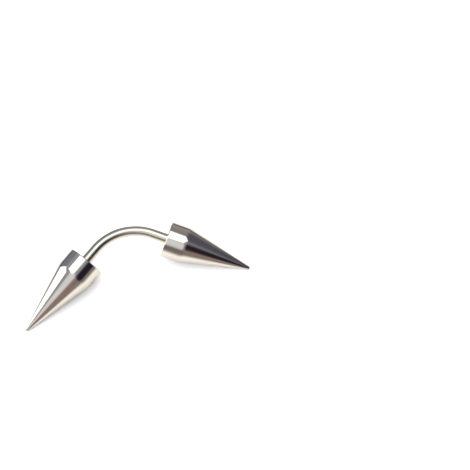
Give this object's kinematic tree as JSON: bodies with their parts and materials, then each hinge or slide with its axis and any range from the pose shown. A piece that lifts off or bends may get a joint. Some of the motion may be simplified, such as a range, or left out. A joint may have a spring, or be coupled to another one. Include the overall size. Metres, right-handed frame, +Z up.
{
  "type": "curved eyebrow barbell",
  "caption": "Curved barbell for an eyebrow piercing: a bent, mirror-polished steel wire with a long tapered spike screwed onto each end.",
  "frame": {"origin": "on the surface that the barbell lies on, under the centre of its bounding box", "axes": "+X from the left spike to the right one, +Y towards the back of the bend, +Z up from the surface"},
  "size_m": [0.0266, 0.008, 0.0047],
  "materials": {
    "bar_steel": "mirror-polished surgical steel wire",
    "spike_steel": "mirror-polished turned surgical steel"
  },
  "bodies": {
    "bar": {"curved_bar": "bar_steel"},
    "left_end": {"left_spike": "spike_steel"},
    "right_end": {"right_spike": "spike_steel"}
  },
  "joints": [
    {"name": "left_spike_off", "type": "slide", "parent": "bar", "child": "left_end", "axis": [-0.8192, -0.5221, -0.2375], "range_m": [0, 0.003]},
    {"name": "right_spike_off", "type": "slide", "parent": "bar", "child": "right_end", "axis": [0.8192, -0.5221, -0.2375], "range_m": [0, 0.003]}
  ]
}
